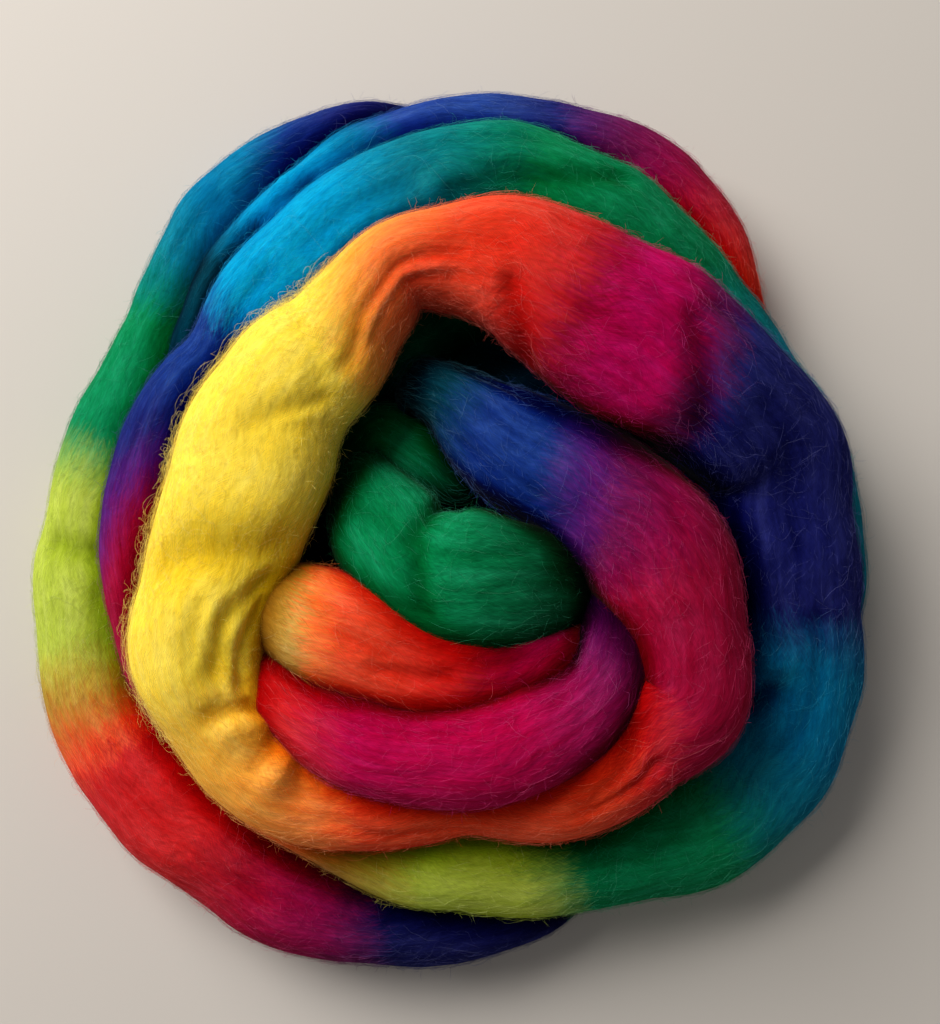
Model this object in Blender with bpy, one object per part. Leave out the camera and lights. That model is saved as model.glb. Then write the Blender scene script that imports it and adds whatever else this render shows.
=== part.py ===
"""A heap of wool roving: one combed, hand-dyed strand wound clockwise into a coil about 300 mm across.

The strand starts and ends inside the heap. From its inner end it makes the knot of short legs in the middle,
rises out of the hollow, goes once round on top, once round below that, once round on the table as the outer
turn, and then spirals in under the heap as a flat bed before it comes out again as the rim at the back.
Lengths in the tables are millimetres. Clock angles are degrees, clockwise from +Y as seen from above, and
they go on counting from turn to turn. The origin is on the table, under the middle of the heap.
"""

import bpy
import numpy as np

MM = 0.001

NODE = "wool_roving"
AXIS_OFFSET = (0.7, 1.7)  # the winding's axis, which is not quite the middle of the heap's box
RING_SPACING = 8.0  # along the strand
RING_SIDES = 24
SQUARENESS = 2.25  # 2 is an ellipse, and a pressed strand is a little squarer
END_RINGS = 4  # rings that round off each end
VOXEL = 2.6
TARGET_TRIANGLES = 9500
FLOOR_CUTTER = 500.0

# The strand's middle line at each station, from the inner end, with its section's width and thickness.
KNOT = (
    # station, x, y, height, width, thick
    (1, 50, -28, 50, 26, 26),  # magenta leg, from under the rising strand
    (2, 52, -45, 57, 28, 28),
    (3, 43, -65, 63, 30, 30),
    (4, 22, -78, 66, 33, 32),
    (5, -4, -82, 66, 34, 32),
    (6, -28, -77, 64, 34, 32),
    (7, -48, -66, 58, 28, 30),
    (8, -62, -54, 49, 22, 26),
    (9, -72, -42, 42, 22, 22),  # turns back under the top turn
    (10, -66, -31, 42, 28, 24),
    (11, -56, -35, 47, 30, 27),  # orange leg
    (12, -42, -40, 53, 34, 30),
    (13, -26, -47, 56, 37, 32),
    (14, -8, -54, 56, 36, 32),
    (15, 10, -56, 55, 34, 30),
    (16, 28, -50, 52, 28, 28),
    (17, 44, -42, 45, 26, 24),  # turns back under the magenta leg
    (18, 52, -32, 44, 30, 24),
    (19, 40, -28, 53, 38, 30),  # green lobes
    (20, 26, -27, 60, 44, 33),
    (21, 10, -26, 63, 48, 34),
    (22, -6, -25, 62, 46, 33),
    (23, -18, -20, 60, 42, 32),
    (24, -27, -10, 55, 38, 30),
    (25, -33, 2, 46, 30, 26),
    (26, -36, 14, 36, 26, 24),  # down into the hollow and out again
    (27, -24, 20, 34, 26, 22),
    (28, -12, 16, 36, 26, 24),
    (29, -8, 30, 42, 20, 24),
    (30, -10, 41, 48, 18, 24),
    (31, 0, 33, 51, 26, 28),  # rising strand
    (32, 12, 23, 55, 34, 32),
    (33, 27, 12, 58, 42, 34),
    (34, 44, 1, 61, 46, 36),
    (35, 59, -12, 62, 47, 36),
    (36, 69, -29, 62, 45, 36),
    (37, 74, -48, 61, 42, 35),
    (38, 73, -65, 60, 41, 34),
)
TURNS = (
    # clock, radius, height, width, thick
    (141, 95, 58, 41, 33),  # top turn
    (152, 96, 55, 43, 31),
    (165, 92, 52, 44, 30),
    (180, 89, 50, 42, 29),
    (195, 96, 50, 42, 29),
    (210, 103, 51, 42, 29),
    (225, 102, 54, 38, 30),
    (238, 96, 58, 42, 33),
    (250, 82, 60, 50, 35),
    (262, 73, 62, 51, 36),
    (275, 67, 63, 50, 36),
    (290, 64, 65, 49, 36),
    (305, 63, 66, 46, 36),
    (320, 62, 67, 42, 36),
    (333, 64, 68, 40, 35),
    (346, 73, 69, 34, 34),
    (360, 76, 70, 36, 35),
    (374, 75, 71, 46, 36),
    (388, 74, 72, 52, 37),
    (402, 75, 72, 57, 38),
    (416, 82, 70, 60, 38),
    (430, 95, 63, 54, 36),
    (441, 106, 52, 51, 34),  # second turn, its right half lowest at the front right
    (452, 110, 45, 51, 34),
    (465, 117, 38, 50, 34),
    (478, 130, 29, 50, 36),
    (491, 138, 22, 48, 40),
    (504, 136, 20, 46, 41),
    (518, 125, 24, 43, 38),
    (532, 118, 30, 43, 34),
    (546, 113, 33, 43, 33),
    (560, 108, 35, 43, 32),
    (576, 107, 33, 43, 26),  # under the top turn
    (592, 105, 35, 42, 26),
    (606, 103, 39, 42, 30),  # its left half and the back
    (620, 100, 42, 42, 33),
    (634, 96, 43, 42, 34),
    (648, 92, 44, 42, 34),
    (661, 87, 44, 41, 34),
    (674, 90, 45, 42, 34),
    (688, 95, 45, 43, 34),
    (702, 102, 46, 43, 34),
    (718, 109, 46, 44, 34),
    (732, 112, 46, 44, 34),
    (746, 110, 45, 43, 33),
    (760, 109, 40, 42, 31),
    (772, 110, 33, 40, 28),  # slides out under the top turn to the table
    (785, 115, 24, 40, 28),
    (800, 123, 18, 41, 34),
    (812, 126, 17, 42, 35),
    (825, 128, 16, 42, 34),
    (838, 122, 13, 36, 26),  # under the second turn
    (852, 112, 12, 34, 24),
    (868, 106, 12, 34, 24),
    (880, 118, 13, 36, 27),
    (890, 132, 15, 41, 33),  # outer turn on the table
    (904, 136, 17, 43, 36),
    (918, 141, 17, 44, 36),
    (931, 141, 17, 44, 36),
    (945, 141, 17, 45, 36),
    (958, 141, 17, 45, 36),
    (971, 134, 17, 44, 36),
    (984, 129, 17, 44, 36),
    (998, 123, 17, 43, 36),
    (1011, 119, 17, 42, 36),
    (1022, 121, 17, 41, 36),
    (1034, 130, 17, 42, 36),
    (1047, 138, 17, 42, 36),
    (1060, 139, 17, 41, 35),
    (1071, 136, 15, 38, 31),
    (1082, 123, 12, 36, 25),  # tucked in under the rim
    (1094, 100, 12, 40, 26),
    (1108, 74, 12, 46, 26),
    (1130, 46, 12, 58, 26),  # flat bed in the middle
    (1170, 34, 12, 64, 26),
    (1220, 32, 12, 66, 26),
    (1270, 32, 12, 66, 26),
    (1320, 32, 12, 66, 26),
    (1370, 32, 12, 66, 26),
    (1420, 32, 14, 66, 28),
    (1460, 32, 24, 66, 28),  # a second round on the bed
    (1500, 32, 34, 66, 28),
    (1550, 32, 36, 66, 28),
    (1600, 32, 36, 66, 28),
    (1650, 32, 36, 66, 28),
    (1700, 34, 35, 60, 28),
    (1740, 42, 32, 50, 26),
    (1770, 54, 25, 42, 26),
    (1798, 68, 18, 40, 26),
    (1825, 80, 13, 40, 26),  # outer round of the bed
    (1855, 84, 12, 40, 26),
    (1895, 84, 12, 40, 26),
    (1935, 87, 12, 40, 26),
    (1975, 93, 12, 40, 26),
    (2015, 97, 12, 40, 26),
    (2055, 98, 13, 40, 27),
    (2085, 98, 20, 40, 28),
    (2110, 103, 29, 41, 30),  # rim at the back, over the outer turn and under the second
    (2124, 108, 33, 42, 31),
    (2138, 117, 33, 42, 31),
    (2151, 126, 30, 42, 32),
    (2164, 133, 25, 42, 34),
    (2178, 137, 20, 43, 36),
    (2191, 138, 18, 43, 36),
    (2202, 131, 17, 42, 36),
    (2212, 119, 17, 40, 34),
    (2222, 108, 14, 36, 29),  # outer end, under the top turn
    (2234, 98, 12, 30, 24),
)

# Each fold is a soft trough between two points of the strand's surface, or a ridge where its depth is below
# zero. A section angle is 0 on the outer side, 90 on top and 180 on the inner side.
FOLDS = (
    # station, angle, to station, to angle, depth, width
    (375, 60, 375, 180, 5.0, 6.0),  # pinch across the arch
    (417, 40, 432, 150, 5.0, 7.0),  # fold where the top turn bends down
    (303, 110, 297, 200, 3.5, 6.0),
    (266, 90, 262, 200, 5.0, 6.0),  # pinch across the left of the top turn
    (252, 130, 238, 100, 5.5, 6.0),
    (234, 110, 232, 150, -3.0, 8.0),
    (222, 100, 220, 150, -3.0, 8.0),
    (672, 40, 686, 60, 3.0, 6.0),
    (722, 80, 744, 100, 4.0, 5.0),
    (984, 150, 986, 80, 3.5, 6.0),
    (474, 100, 472, 190, 4.0, 7.0),
    (22, 20, 22.5, 160, 4.0, 5.0),
    (19, 100, 22, 110, 2.5, 5.0),
    (13, 125, 15.5, 120, 3.0, 5.0),
    (5, 130, 8, 100, 3.0, 5.0),
    (33, 90, 36, 120, 2.5, 7.0),
)

# Slow swelling of the strand: the share of the radius, the wavelength, waves round the section, the start.
SWELLS = (
    # share, wavelength, waves round, start
    (0.030, 71, 0, 0.4),
    (0.028, 47, 1, 1.9),
    (0.024, 33, 2, 3.1),
    (0.020, 58, 3, 5.0),
)


def strand_rows():
    """Stations and rows of x, y, height, width and thickness in metres, from the inner end to the outer."""
    knot, turns = np.array(KNOT, float), np.array(TURNS, float)
    clock, radius = np.radians(turns[:, 0]), turns[:, 1]
    around = np.column_stack((radius * np.sin(clock), radius * np.cos(clock), turns[:, 2:]))
    rows = np.vstack((knot[:, 1:], around))
    rows[:, :2] += AXIS_OFFSET
    return np.concatenate((knot[:, 0], turns[:, 0])), rows * MM


def smooth_rows(stations, rows, spacing):
    """Catmull-Rom through the rows, sampled about every spacing, with each sample's station."""
    padded = np.vstack((2 * rows[0] - rows[1], rows, 2 * rows[-1] - rows[-2]))
    samples, marks = [], []
    for i in range(len(rows) - 1):
        before, start, end, after = padded[i : i + 4]
        count = max(2, round(float(np.linalg.norm(end[:3] - start[:3])) / spacing))
        t = np.arange(count)[:, None] / count
        bend = 2 * before - 5 * start + 4 * end - after
        twist = 3 * start - before - 3 * end + after
        samples.append(start + 0.5 * ((end - before) * t + bend * t**2 + twist * t**3))
        marks.append(stations[i] + (stations[i + 1] - stations[i]) * t[:, 0])
    return np.concatenate(marks + [stations[-1:]]), np.vstack(samples + [rows[-1:]])


def section_axes(middle):
    """Unit vectors across the strand, level and to its outer side, and upwards, at each ring."""
    ahead = np.gradient(middle, axis=0)
    ahead /= np.linalg.norm(ahead, axis=1)[:, None]
    outward = np.cross([0.0, 0.0, 1.0], ahead)
    outward /= np.linalg.norm(outward, axis=1)[:, None]
    return outward, np.cross(ahead, outward)


def swell(along, angle):
    """1 plus a sum of slow waves along and around the strand."""
    total = np.ones(np.broadcast_shapes(along.shape, angle.shape))
    for share, wavelength, waves, start in SWELLS:
        total += share * np.sin(2 * np.pi * along / (wavelength * MM) + waves * angle + start)
    return total


def fold_depth(stations, along, angle, girth):
    """How far the folds press the surface in: each falls off as a bell curve from its own segment."""
    depth = np.zeros(np.broadcast_shapes(along.shape, angle.shape))
    turned = np.mod(angle + np.pi / 2, 2 * np.pi) - np.pi / 2
    for mark, side, to_mark, to_side, deep, width in FOLDS:
        start, end = np.interp((mark, to_mark), stations, along[:, 0])
        radius = np.interp(mark, stations, girth[:, 0])
        across = (radius * np.radians(side), radius * np.radians(to_side))
        run = np.array((end - start, across[1] - across[0]))
        from_start = (along - start) * run[0] + (radius * turned - across[0]) * run[1]
        share = np.clip(from_start / (run @ run), 0, 1)
        away = np.hypot(along - start - share * run[0], radius * turned - across[0] - share * run[1])
        depth += deep * MM * np.exp(-((away / (width * MM)) ** 2))
    return depth


def strand_surface():
    """Rings of points round the strand, as an array of rings by sides by coordinates."""
    stations, rows = smooth_rows(*strand_rows(), RING_SPACING * MM)
    middle, half_width, half_thick = rows[:, :3], rows[:, 3:4] / 2, rows[:, 4:5] / 2
    steps = np.linalg.norm(np.diff(middle, axis=0), axis=1)
    along = np.concatenate(([0.0], np.cumsum(steps)))[:, None]
    angle = np.linspace(0, 2 * np.pi, RING_SIDES, endpoint=False)[None, :]
    girth = (half_width + half_thick) / 2
    size = swell(along, angle) - fold_depth(stations, along, angle, girth) / girth
    power = 2 / SQUARENESS
    level = np.sign(np.cos(angle)) * np.abs(np.cos(angle)) ** power * half_width * size
    height = np.sign(np.sin(angle)) * np.abs(np.sin(angle)) ** power * half_thick * size
    outward, upward = section_axes(middle)
    rings = middle[:, None] + level[..., None] * outward[:, None] + height[..., None] * upward[:, None]
    return round_ends(rings, middle, half_thick[:, 0])


def round_ends(rings, middle, half_thick):
    """Adds rings past each end that close it as half an ellipsoid."""
    turn = np.linspace(0, np.pi / 2, END_RINGS + 1)[1:-1]
    for end, inner in ((0, 1), (-1, -2)):
        ahead = middle[end] - middle[inner]
        ahead *= half_thick[end] / np.linalg.norm(ahead)
        centred = rings[end] - middle[end]
        caps = middle[end] + np.sin(turn)[:, None, None] * ahead + np.cos(turn)[:, None, None] * centred
        rings = np.concatenate((caps[::-1], rings) if end == 0 else (rings, caps))
    return rings


def strand_mesh(name, rings):
    """The rings as one closed mesh of quads with a flat cap on each end."""
    count, sides = rings.shape[:2]
    index = np.arange(count * sides).reshape(count, sides)
    following = np.roll(index, -1, axis=1)
    quads = np.stack((index[:-1], following[:-1], following[1:], index[1:]), axis=-1).reshape(-1, 4)
    faces = quads[:, ::-1].tolist() + [index[0].tolist(), index[-1, ::-1].tolist()]
    mesh = bpy.data.meshes.new(name)
    mesh.from_pydata(rings.reshape(-1, 3).tolist(), [], faces)
    mesh.update()
    return mesh


def floor_cutter():
    """A block whose top face is the table."""
    bpy.ops.mesh.primitive_cube_add(size=FLOOR_CUTTER * MM, location=(0, 0, -FLOOR_CUTTER * MM / 2))
    cutter = bpy.context.object
    cutter.name = "floor_cutter"
    cutter.hide_render = True
    cutter.display_type = "WIRE"
    return cutter


def wool_material():
    material = bpy.data.materials.new("wool")
    material.use_nodes = True
    shader = material.node_tree.nodes["Principled BSDF"]
    shader.inputs["Base Color"].default_value = (0.62, 0.12, 0.10, 1)
    shader.inputs["Roughness"].default_value = 0.9
    shader.inputs["Metallic"].default_value = 0.0
    return material


def fuse(roving):
    """Makes one skin of the strand where it lies on itself, and flattens what meets the table."""
    skin = roving.modifiers.new("one_skin", "REMESH")
    skin.mode = "VOXEL"
    skin.voxel_size = VOXEL * MM
    graph = bpy.context.evaluated_depsgraph_get()
    faces = len(roving.evaluated_get(graph).data.polygons)
    thin = roving.modifiers.new("fewer_faces", "DECIMATE")
    thin.ratio = TARGET_TRIANGLES / (2 * faces)
    cut = roving.modifiers.new("table", "BOOLEAN")
    cut.operation = "DIFFERENCE"
    cut.solver = "EXACT"
    cut.object = floor_cutter()


def main():
    for obj in list(bpy.data.objects):
        bpy.data.objects.remove(obj)
    roving = bpy.data.objects.new(NODE, strand_mesh(NODE, strand_surface()))
    bpy.context.scene.collection.objects.link(roving)
    roving.data.materials.append(wool_material())
    roving.data.shade_smooth()
    fuse(roving)


if __name__ == "__main__":
    main()
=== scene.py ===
"""A heap of hand-dyed wool roving: one combed strand, wound clockwise, with its dye, its locks and its loose fibre.

The strand is a tube carried along one line from its inner end to its outer end, in seven stretches that each
close inside the next. Lengths in the tables are millimetres, and the origin is on the table.
"""

import functools
import math

import bpy
import numpy as np
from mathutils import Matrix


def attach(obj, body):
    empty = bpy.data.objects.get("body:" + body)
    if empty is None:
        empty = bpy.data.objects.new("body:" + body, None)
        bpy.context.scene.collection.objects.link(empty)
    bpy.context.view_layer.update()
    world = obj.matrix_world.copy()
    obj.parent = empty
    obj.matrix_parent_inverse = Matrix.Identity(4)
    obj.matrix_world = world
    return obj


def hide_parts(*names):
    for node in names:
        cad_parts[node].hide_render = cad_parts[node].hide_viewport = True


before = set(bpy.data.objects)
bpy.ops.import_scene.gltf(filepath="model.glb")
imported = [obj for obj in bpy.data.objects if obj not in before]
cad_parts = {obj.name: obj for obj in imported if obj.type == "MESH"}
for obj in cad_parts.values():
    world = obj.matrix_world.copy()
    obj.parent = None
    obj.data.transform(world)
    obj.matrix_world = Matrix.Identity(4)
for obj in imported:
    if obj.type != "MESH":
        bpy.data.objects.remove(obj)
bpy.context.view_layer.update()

bl_info = {
    "name": "Wool roving heap",
    "version": (1, 0, 0),
    "blender": (4, 5, 0),
    "location": "3D View > Sidebar > Roving",
    "description": "Makes a wound heap of hand-dyed wool roving and a soft studio round it",
    "category": "Object",
}

MM = 0.001
NODE = "wool_roving"
BODY = "root"

AXIS_OFFSET = (0.7, 1.7)  # the winding's axis, which is not quite the middle of the heap's box
LINE_SPACING = 1.5  # between samples of the middle line
BEND_SOFTNESS = 17  # samples over which its direction is averaged, so that tight bends don't bunch up
PROBE_SPACING = 4.0  # between the samples that tell how near another turn lies
SQUARENESS = 2.25  # 2 is an ellipse, and a pressed strand is a little squarer
STRAND_MOST = 5.0  # metres, more than the strand's length
SKIN_DEPTH = 0.3  # how far the skin lies inside the strand's outline, under the down
END_ROUNDING = 12.0  # length of the dome that closes a stretch
FOLD_SHARPNESS = 1.6  # 2 is a round trough, and 1 is a sharp crease
TABLE_SOFTNESS = 1.2  # height over which the strand rounds off where it meets the table
OWN_REACH = 75.0  # length of strand on each side that doesn't count as another turn
GIRTH = 128.0  # the section's usual length round
POINTS_AT_ONCE = 3000  # points whose nearness is worked out together, to spare memory
FAR = 9.0  # the nearness where no other turn is close
SHADE_NEAR = (1.5, 1.0)  # nearness of another turn where painted shade starts, and where it is darkest
SHADE_SIDES = 32  # places round the section where the painted shade is worked out
RINGS_A_PROBE = 3  # rings of the skin for each place along it where the painted shade is worked out
SHADE_PROBES = ((0.0, 0.55), (9.0, 0.3), (18.0, 0.15))  # heights over the skin where another turn's nearness is probed for painted shade, and what each counts
FOLD_SHADE_DEPTH = 5.0  # depth of a fold whose bottom gets the most painted shade
FOLD_SHADE = 0.6  # how much painted shade that bottom gets
FOLD_SHADE_WIDTH = 1.35  # width of a fold's painted shade, in widths of the fold
DOWN_COARSENESS = 1.8  # how much coarser the down's mesh is than the skin's
WANDER = 2.5  # how far the fibre grain strays round the strand
WANDER_CELLS = (16, 8, 29)  # the length of its lattice's cells, how many lie round the strand, and its seed
SEAM = -math.pi / 2  # section angle where the wrapping starts, underneath
STRIP_GIRTH = 130.0  # the section's length round by which the strips of the bake map are counted

# The strand's middle line at each station, from the inner end, with its section's width and thickness.
KNOT = (
    # station, x, y, height, width, thick

    # magenta leg, from under the rising strand
    (1, 50, -28, 50, 26, 26), (2, 53.5, -45, 57, 28, 28), (3, 44.5, -65, 63, 30, 30), (4, 22, -78, 66, 32, 32),
    (5, -4, -82, 66, 31, 31), (6, -28, -79, 63, 30, 30), (7, -49, -68, 57, 24, 28), (8, -61.5, -56, 49, 21, 25),
    # turns back under the top turn
    (9, -72, -42, 42, 22, 22), (10, -66, -31, 42, 28, 24),
    # orange leg
    (11, -57, -35, 52, 32, 28), (12, -43, -41, 58, 37, 31), (13, -27, -48, 60, 39, 32),
    (14, -8, -55, 60, 37, 32), (15, 10, -57, 58, 35, 31), (16, 28, -51, 55, 30, 29),
    # turns back under the magenta leg
    (17, 44, -42, 45, 26, 24), (18, 50, -34, 40, 24, 22),
    # green lobes
    (19, 39, -29.5, 48, 29, 26), (20, 26, -29, 59, 38, 32), (21, 11, -28.5, 63, 47, 34),
    (22, -3, -27, 62, 47, 33), (23, -15, -19, 59, 41, 31), (24, -23, -9, 54, 38, 29), (25, -29, 2, 45, 30, 25),
    # down into the hollow and out again
    (26, -34, 13, 36, 26, 22), (27, -25, 24, 38, 25, 22), (28, -12, 17, 41, 27, 24), (29, 2, 7, 38, 24, 22),
    (29.4, 10, 15, 35, 20, 20), (29.7, 3, 29, 38, 18, 20), (30, -10, 38, 47, 20, 24),
    # rising strand
    (31, 0, 33, 51, 26, 28), (32, 12, 23, 55, 34, 32), (33, 27, 12, 58, 42, 34), (34, 44, 1, 61, 46, 36),
    (35, 59, -12, 62, 47, 36), (36, 69, -29, 62, 45, 36), (37, 74, -48, 61, 42, 35), (38, 73, -65, 60, 41, 34),
)
TURNS = (
    # clock, radius, height, width, thick

    # top turn
    (141, 95, 58, 41, 33), (152, 96, 55, 43, 31), (165, 92, 52, 44, 30), (180, 89, 50, 42, 29),
    (195, 96, 50, 42, 29), (210, 103, 51, 42, 29), (225, 102, 54, 38, 30), (238, 96, 58, 42, 33),
    (250, 82, 60, 46, 35), (262, 72, 62, 48, 36), (275, 65, 63, 50, 36), (290, 64, 65, 50, 36),
    (305, 62.5, 66, 46, 36), (320, 61, 67, 41, 36), (333, 66.5, 68, 34, 35), (346, 75.5, 69, 30, 34),
    (360, 76, 70, 36, 35), (374, 75.5, 71, 45, 36), (388, 72.5, 72, 50, 36), (402, 74, 72, 56, 37),
    (416, 81, 69, 57, 37), (430, 93, 63, 51, 36),
    # second turn, its right half lowest at the front right
    (441, 106, 52, 51, 34), (452, 110, 45, 51, 34), (465, 117, 38, 50, 34), (478, 130, 29, 50, 36),
    (491, 138, 22, 48, 40), (504, 136, 20, 46, 41), (518, 125, 24, 43, 38), (532, 118, 30, 43, 34),
    (546, 113, 33, 43, 33), (560, 108, 35, 43, 32),
    # under the top turn
    (576, 107, 33, 43, 26), (592, 105, 35, 42, 26),
    # its left half and the back
    (606, 103, 39, 42, 30), (620, 100, 42, 42, 33), (634, 96, 43, 42, 34), (648, 92, 44, 42, 34),
    (661, 87, 44, 41, 34), (674, 90, 45, 42, 34), (688, 95, 45, 43, 34), (702, 102, 46, 43, 34),
    (718, 109, 46, 44, 34), (732, 112, 46, 44, 34), (746, 110, 45, 43, 33), (760, 109, 40, 42, 31),
    # slides out under the top turn to the table
    (772, 110, 33, 40, 28), (785, 115, 24, 40, 28), (800, 123, 18, 41, 34), (812, 126, 17, 42, 35),
    (825, 128, 16, 42, 34),
    # under the second turn
    (838, 122, 13, 36, 26), (852, 112, 12, 34, 24), (868, 106, 12, 34, 24), (880, 118, 13, 36, 27),
    # outer turn on the table
    (890, 132, 15, 41, 33), (904, 136, 17, 43, 36), (918, 141, 17, 44, 36), (931, 141, 17, 44, 36),
    (945, 141, 17, 45, 36), (958, 141, 17, 45, 36), (971, 134, 17, 44, 36), (984, 129, 17, 44, 36),
    (998, 123, 17, 43, 36), (1011, 119, 17, 42, 36), (1022, 120, 17, 41, 36), (1034, 128, 17, 42, 36),
    (1047, 136, 17, 42, 36), (1060, 139, 17, 41, 35), (1071, 136, 15, 38, 31),
    # tucked in under the rim
    (1082, 123, 12, 36, 25), (1094, 100, 12, 40, 26), (1108, 74, 12, 46, 26),
    # flat bed in the middle
    (1130, 46, 12, 58, 26), (1170, 34, 12, 64, 26), (1220, 32, 12, 66, 26), (1270, 32, 12, 66, 26),
    (1320, 32, 12, 66, 26), (1370, 32, 12, 66, 26), (1420, 32, 14, 66, 28),
    # a second round on the bed
    (1460, 32, 24, 66, 28), (1500, 32, 34, 66, 28), (1550, 32, 36, 66, 28), (1600, 32, 36, 66, 28),
    (1650, 32, 36, 66, 28), (1700, 34, 35, 60, 28), (1740, 42, 32, 50, 26), (1770, 54, 25, 42, 26),
    (1798, 68, 18, 40, 26),
    # outer round of the bed
    (1825, 80, 13, 40, 26), (1855, 84, 12, 40, 26), (1895, 84, 12, 40, 26), (1935, 87, 12, 40, 26),
    (1975, 93, 12, 40, 26), (2015, 97, 12, 40, 26), (2055, 98, 13, 40, 27), (2085, 98, 20, 40, 28),
    # rim at the back, over the outer turn and under the second
    (2110, 103, 29, 41, 30), (2124, 108, 33, 42, 31), (2138, 117, 33, 42, 31), (2151, 126, 30, 42, 32),
    (2164, 133, 25, 42, 34), (2178, 137, 20, 43, 36), (2191, 138, 18, 43, 36), (2202, 131, 17, 42, 36),
    (2212, 119, 17, 40, 34),
    # outer end, under the top turn
    (2222, 108, 14, 36, 29), (2234, 98, 12, 30, 24),
)

# Each fold is a trough along a line of points on the strand's surface, or a ridge where its depth is below zero.
# A section angle is 0 on the outer side, 90 on top and 180 on the inner side.
FOLDS = (
    # depth, width, then (station, angle) for each point of its line
    (1.9, 3.6, (289, 90), (295, 104), (299, 114), (308, 128)),  # dent in the yellow
    (1.5, 6.5, (289, 102), (296, 126)),  # hollow below it
    (1.9, 3.0, (320, 122), (331, 108), (338, 108), (351, 106), (360, 100), (370, 90)),  # bundles of the arch
    (-0.8, 3.5, (323, 124), (333, 114), (341, 122), (357, 116)),
    (1.1, 2.4, (327, 130), (336, 124), (348, 130), (357, 126), (370, 116)),
    (1.6, 6.5, (361, 98), (373, 88)),
    (0.8, 2.4, (381, 56), (390, 38)),
    (1.2, 5.5, (371, 86), (376, 100)),  # pinch across the arch
    (2.8, 4.4, (379, 114), (386, 140), (390, 172)),
    (2.8, 4.4, (416, 70), (420, 86), (423, 96), (425, 108), (427, 130)),  # where the top turn bends down
    (-1.3, 3.4, (414, 60), (421, 76), (424, 92), (427, 100)),
    (1.1, 2.6, (412, 46), (419, 50), (423, 48)),
    (3.1, 8.0, (252, 62), (257, 98), (262, 140)),  # waist of the yellow
    (3.0, 3.6, (255, 144), (251, 134), (248, 124), (245, 117), (239, 116), (235, 107)),  # valley below it
    (-1.2, 2.8, (249, 128), (246, 124), (242, 122)),
    (1.0, 2.4, (254, 104), (247, 96), (242, 94), (238, 94)),
    (0.8, 2.2, (251, 84), (249, 94), (243, 100), (236, 112), (227, 100)),
    (-0.9, 2.0, (251, 94), (248, 104), (243, 106), (239, 118)),
    (1.8, 2.6, (250, 146), (244, 138), (236, 134), (230, 126)),
    (0.8, 2.0, (289, 84), (284, 108), (286, 126)),  # small creases of the yellow
    (0.7, 2.2, (317, 70), (316, 96), (309, 124)),
    (0.8, 2.0, (292, 118), (292, 136), (296, 158)),
    (2.6, 3.0, (228, 90), (227, 100), (226, 118), (223, 126)),  # amber bumps and the creases round them
    (-2.2, 4.5, (224, 100), (222, 112)),
    (2.2, 3.2, (217, 118), (216, 100), (216, 90)),
    (-2.2, 4.5, (213, 86), (212, 94)),
    (1.6, 3.0, (209, 100), (209, 90), (208, 82)),
    (1.0, 2.4, (202, 64), (192, 44), (174, 34)),
    (0.8, 2.4, (387, 104), (399, 102), (410, 104)),  # bundles of the red and the magenta
    (0.7, 2.4, (391, 60), (406, 68), (416, 86)),
    (1.2, 2.4, (31, 44), (32, 44), (33, 48)),  # rising strand
    (0.9, 2.6, (32, 130), (33, 120), (34, 124)),
    (1.0, 2.6, (34, 54), (35, 62), (35.3, 72)),
    (1.7, 2.4, (141, 96), (147, 80), (152, 70), (156, 62)),  # bundles of the orange
    (1.7, 2.2, (142, 64), (146, 60), (151, 60), (156, 54)),
    (0.9, 2.0, (7.2, 90), (6.8, 104), (6.2, 134)),  # magenta leg
    (0.8, 2.4, (6.9, 126), (6, 114), (5.1, 118), (4, 122)),
    (0.9, 2.2, (2.3, 166), (2.9, 148), (3.5, 122)),
    (1.2, 2.4, (12, 74), (12.8, 92), (13.4, 90)),
    (0.9, 2.2, (14.1, 72), (15, 84), (15.8, 88)),
    (2.0, 2.4, (13.3, 104), (13.7, 100), (14, 98), (14.3, 92)),  # orange leg
    (3.2, 2.3, (22.7, 106), (22.4, 92), (22.1, 76), (22, 62)),  # between the green lobes
    (3.2, 3.0, (23.2, 170), (22.9, 128), (22.8, 100)),
    (1.2, 2.8, (23.8, 86), (23.4, 98)),
    (1.0, 1.8, (22.4, 98), (21.7, 106), (21.3, 102), (20.6, 112)),
    (4.5, 4.2, (478, 112), (480, 124)),  # pocket of the blue, and the bump beside it
    (-2.2, 5.5, (473, 114), (473, 106)),
    (2.8, 3.2, (719, 106), (728, 98), (738, 88), (743, 70), (746, 54)),  # between the green bundles at the back
    (1.4, 2.6, (681, 80), (672, 78), (667, 78)),
    (0.9, 2.4, (689, 88), (699, 90), (710, 90)),
    (1.0, 2.4, (716, 64), (725, 64), (733, 56)),
    (1.0, 2.4, (432, 86), (445, 92), (458, 90)),  # second turn's right half
    (0.9, 2.6, (467, 80), (478, 80), (485, 88)),
    (1.0, 2.6, (525, 78), (516, 82), (507, 92)),
    (2.5, 8.0, (520, 104), (536, 108), (550, 112)),  # hollow of the lime beside the top turn, which gets the painted shade of the top turn's edge
    (2.8, 3.2, (984, 64), (983, 86), (982, 110)),  # pinch of the lime
    (0.9, 2.6, (976, 100), (967, 104), (957, 110)),  # outer turn
    (0.9, 2.6, (949, 80), (937, 80), (926, 76)),
    (0.9, 2.6, (1025, 48), (1034, 66), (1043, 76)),
    (1.2, 2.6, (1046, 86), (1051, 78), (1057, 70)),
    (5.0, 2.8, (2136, 74), (2135, 78)),  # tuft on the rim, with a pit on each side
    (4.6, 3.2, (2125, 64), (2123, 66)),
    (-1.6, 2.6, (2131, 60), (2134, 38), (2136, 46), (2137, 66)),
    (1.4, 2.6, (2129, 52), (2127, 74), (2125, 80)),
)

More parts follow.
